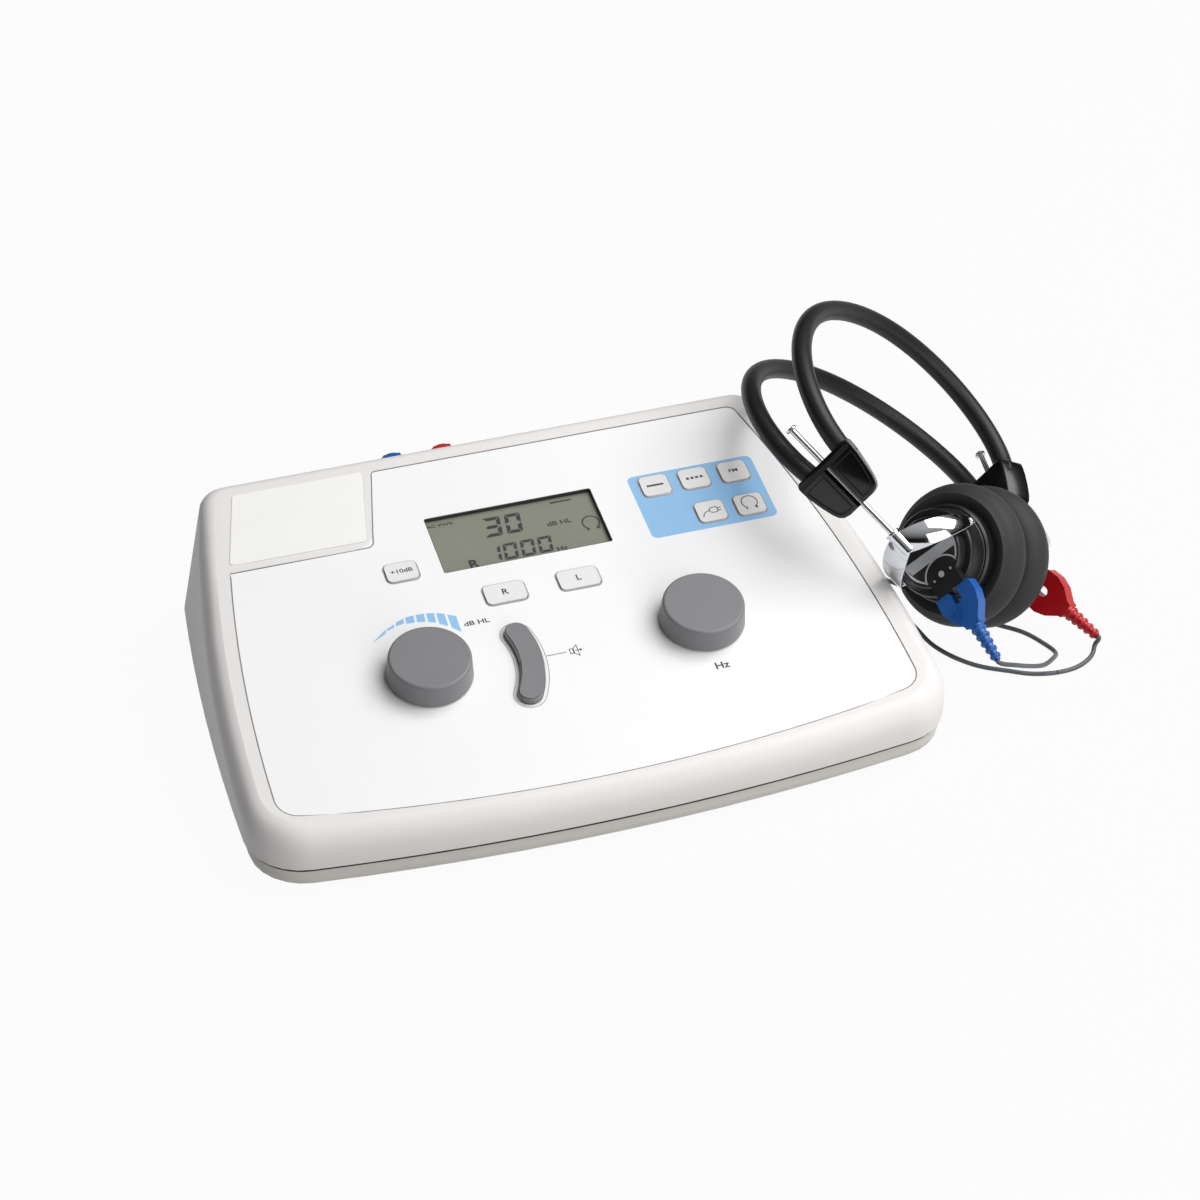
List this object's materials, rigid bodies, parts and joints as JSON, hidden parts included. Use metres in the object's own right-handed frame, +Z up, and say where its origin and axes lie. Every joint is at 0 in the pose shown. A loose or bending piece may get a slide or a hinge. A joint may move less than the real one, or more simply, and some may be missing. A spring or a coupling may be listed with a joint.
{
  "type": "screening audiometer with headset",
  "caption": "Wedge-shaped desk audiometer with a tilted key and dial panel, and a two-earphone headset lying beside it with its cord coiled behind.",
  "frame": {"origin": "centre of the footprint of the unit and its headset, without the cords, on the table", "axes": "+X to the right of a person in front of the panel, +Y to the back, +Z up"},
  "size_m": [0.4491, 0.3224, 0.1393],
  "materials": {
    "shell": "fine satin texture",
    "lower_shell": "fine satin texture",
    "black_nylon": "plain moulded",
    "cell_jacket": "printed shrink sleeve",
    "foot_rubber": "matt",
    "steel": "zinc plated",
    "film": "fine embossed polyester",
    "plate": "soft cushion under clear film",
    "display_glass": "clear hard coat over a grey-green display",
    "display_dark": "moulded",
    "board": "solder mask",
    "knob_grey": "satin",
    "key_white": "satin",
    "nut_blue": "moulded; the second is red and the third is plated",
    "band_cover": "soft padded sleeve",
    "block_black": "polished",
    "chrome": "bright plated",
    "capsule_black": "satin",
    "cushion_rubber": "matt moulded",
    "plug_blue": "moulded",
    "plug_red": "moulded",
    "lead_grey": "satin cord sheath",
    "cord_grey": "satin cord sheath",
    "plug_dark": "moulded handles, plated shafts"
  },
  "bodies": {
    "unit": {"upper_case": "shell", "lower_case": "lower_shell", "battery_tray": "black_nylon", "batteries": "cell_jacket", "feet": "foot_rubber", "case_screws": "steel", "panel_film": "film", "name_plate": "plate", "display_window": "display_glass", "display_module": "display_dark", "main_board": "board", "board_screws": "steel", "tact_switches": "black_nylon", "encoders": "steel", "encoder_nuts": "steel", "rear_board": "board", "jack_blue": "black_nylon", "jack_red": "black_nylon", "jack_nuts": "nut_blue", "response_jack": "black_nylon", "power_inlet": "black_nylon", "rocker_frame": "black_nylon"},
    "door": {"battery_door": "lower_shell"},
    "level_dial": {"level_knob": "knob_grey", "level_shaft": "steel"},
    "frequency_dial": {"frequency_knob": "knob_grey", "frequency_shaft": "steel"},
    "tone_bar": {"tone_bar": "knob_grey"},
    "key_steady": {"key_steady": "key_white"},
    "key_pulsed": {"key_pulsed": "key_white"},
    "key_warble": {"key_warble": "key_white"},
    "key_line_input": {"key_line_input": "key_white"},
    "key_headphones": {"key_headphones": "key_white"},
    "key_step": {"key_step": "key_white"},
    "key_right_ear": {"key_right_ear": "key_white"},
    "key_left_ear": {"key_left_ear": "key_white"},
    "power_rocker": {"power_rocker": "black_nylon"},
    "headset": {"upper_tube": "band_cover", "lower_tube": "band_cover", "near_block": "block_black", "far_block": "block_black", "lead_blue": "lead_grey", "lead_red": "lead_grey", "cord_yoke": "cord_grey", "main_cord": "cord_grey", "cord_coil": "cord_grey", "cord_split": "cord_grey", "tail_blue": "lead_grey", "tail_red": "lead_grey", "jack_plugs": "plug_dark"},
    "near_slider": {"near_rod": "chrome", "near_fork": "chrome"},
    "far_slider": {"far_rod": "chrome", "far_fork": "chrome"},
    "near_phone": {"near_capsule": "capsule_black", "near_cushion": "cushion_rubber", "blue_plug": "plug_blue"},
    "far_phone": {"far_capsule": "capsule_black", "far_cushion": "cushion_rubber", "red_plug": "plug_red"}
  },
  "joints": [
    {"name": "level_turn", "type": "hinge", "parent": "unit", "child": "level_dial", "pos_m": [-0.1215, -0.039, 0.04813], "axis": [0, -0.1994, 0.9799], "continuous": true},
    {"name": "frequency_turn", "type": "hinge", "parent": "unit", "child": "frequency_dial", "pos_m": [0.0135, -0.039, 0.04813], "axis": [0, -0.1994, 0.9799], "continuous": true},
    {"name": "tone_press", "type": "slide", "parent": "unit", "child": "tone_bar", "axis": [0, 0.1994, -0.9799], "range_m": [0, 0.0015], "stiffness_N_per_m": 700, "springref_m": -0.001},
    {"name": "key_steady_press", "type": "slide", "parent": "unit", "child": "key_steady", "axis": [0, 0.1994, -0.9799], "range_m": [0, 0.001], "stiffness_N_per_m": 900, "springref_m": -0.001},
    {"name": "key_pulsed_press", "type": "slide", "parent": "unit", "child": "key_pulsed", "axis": [0, 0.1994, -0.9799], "range_m": [0, 0.001], "stiffness_N_per_m": 900, "springref_m": -0.001},
    {"name": "key_warble_press", "type": "slide", "parent": "unit", "child": "key_warble", "axis": [0, 0.1994, -0.9799], "range_m": [0, 0.001], "stiffness_N_per_m": 900, "springref_m": -0.001},
    {"name": "key_line_input_press", "type": "slide", "parent": "unit", "child": "key_line_input", "axis": [0, 0.1994, -0.9799], "range_m": [0, 0.001], "stiffness_N_per_m": 900, "springref_m": -0.001},
    {"name": "key_headphones_press", "type": "slide", "parent": "unit", "child": "key_headphones", "axis": [0, 0.1994, -0.9799], "range_m": [0, 0.001], "stiffness_N_per_m": 900, "springref_m": -0.001},
    {"name": "key_step_press", "type": "slide", "parent": "unit", "child": "key_step", "axis": [0, 0.1994, -0.9799], "range_m": [0, 0.001], "stiffness_N_per_m": 900, "springref_m": -0.001},
    {"name": "key_right_ear_press", "type": "slide", "parent": "unit", "child": "key_right_ear", "axis": [0, 0.1994, -0.9799], "range_m": [0, 0.001], "stiffness_N_per_m": 900, "springref_m": -0.001},
    {"name": "key_left_ear_press", "type": "slide", "parent": "unit", "child": "key_left_ear", "axis": [0, 0.1994, -0.9799], "range_m": [0, 0.001], "stiffness_N_per_m": 900, "springref_m": -0.001},
    {"name": "power_rock", "type": "hinge", "parent": "unit", "child": "power_rocker", "pos_m": [0.038, 0.102, 0.042], "axis": [0, 0, 1], "range_deg": [-14, 0]},
    {"name": "door_slide", "type": "slide", "parent": "unit", "child": "door", "axis": [0, 1, 0], "range_m": [0, 0.055]},
    {"name": "headset_lift", "type": "slide", "parent": "unit", "child": "headset", "axis": [0, 0, 1], "range_m": [0, 0.12]},
    {"name": "near_rod_slide", "type": "slide", "parent": "headset", "child": "near_slider", "axis": [-0.5144, 0.6491, 0.5604], "range_m": [0, 0.0195], "deforming": ["lead_blue"]},
    {"name": "near_tilt", "type": "hinge", "parent": "near_slider", "child": "near_phone", "pos_m": [0.13548, -0.03694, 0.05835], "axis": [-0.6121, 0.1798, -0.7701], "range_deg": [-5, 5], "deforming": ["lead_blue"]},
    {"name": "far_rod_slide", "type": "slide", "parent": "headset", "child": "far_slider", "axis": [0.0884, 0.9833, 0.1593], "range_m": [0, 0.0195], "deforming": ["lead_red"]},
    {"name": "far_tilt", "type": "hinge", "parent": "far_slider", "child": "far_phone", "pos_m": [0.18612, -0.00886, 0.02465], "axis": [-0.6121, 0.1798, -0.7701], "range_deg": [-5, 5], "deforming": ["lead_red"]}
  ]
}
